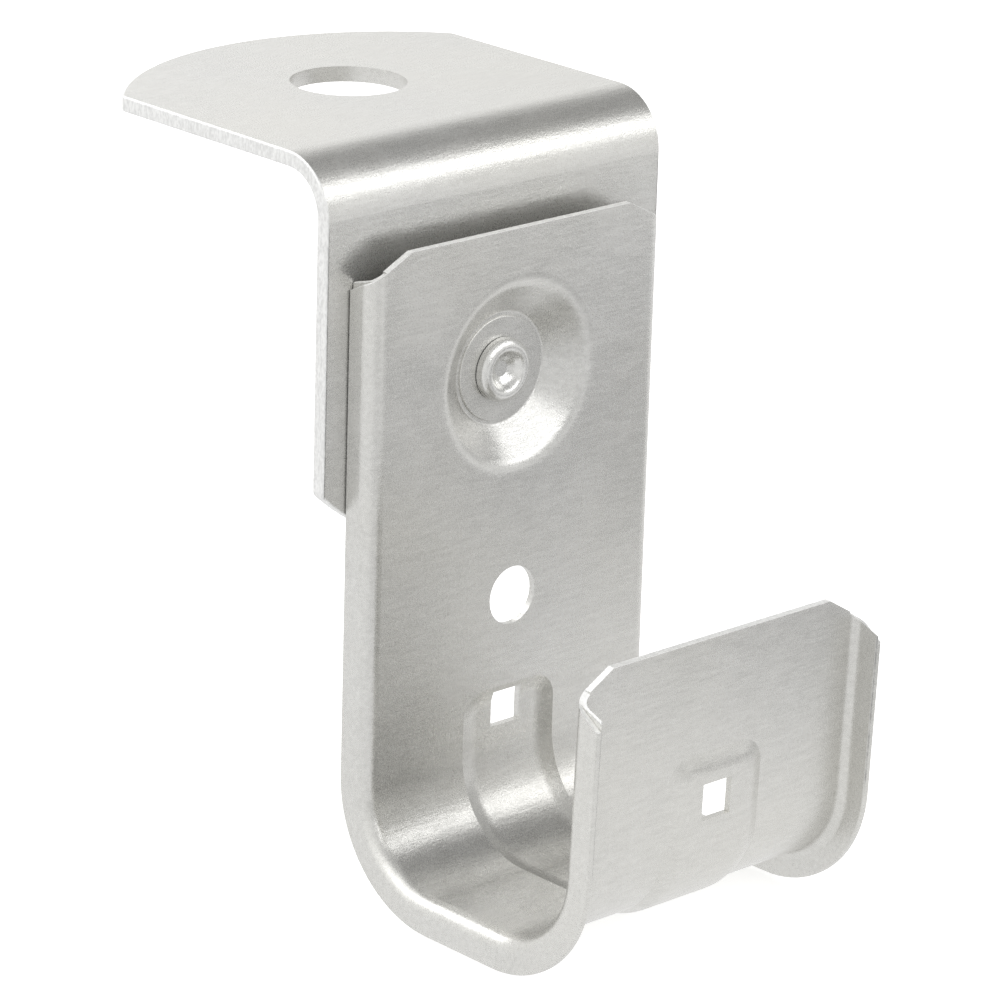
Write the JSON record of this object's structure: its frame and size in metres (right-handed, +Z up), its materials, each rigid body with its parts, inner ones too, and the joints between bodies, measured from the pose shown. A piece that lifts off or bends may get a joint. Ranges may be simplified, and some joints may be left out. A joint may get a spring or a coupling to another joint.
{
  "type": "cable support j-hook with angle bracket",
  "caption": "Open sheet-steel cable hook with turned-out edges, riveted so it swivels on an angle bracket with a fixing hole in its top flange.",
  "frame": {"origin": "centre of the fixing hole in the bracket's top flange, on the flange's top face", "axes": "+Z up along the fixing hole, +Y away from the mouth of the hook, +X across the hook"},
  "size_m": [0.0518, 0.0915, 0.0894],
  "materials": {
    "bracket_steel": "satin zinc",
    "hook_steel": "satin zinc",
    "rivet_steel": "bright zinc"
  },
  "bodies": {
    "bracket": {"angle_bracket": "bracket_steel", "rivet": "rivet_steel"},
    "hook": {"j_hook": "hook_steel"}
  },
  "joints": [
    {"name": "hook_swivel", "type": "hinge", "parent": "bracket", "child": "hook", "pos_m": [0, -0.0275, -0.0286], "axis": [0, 1, 0], "continuous": true}
  ]
}
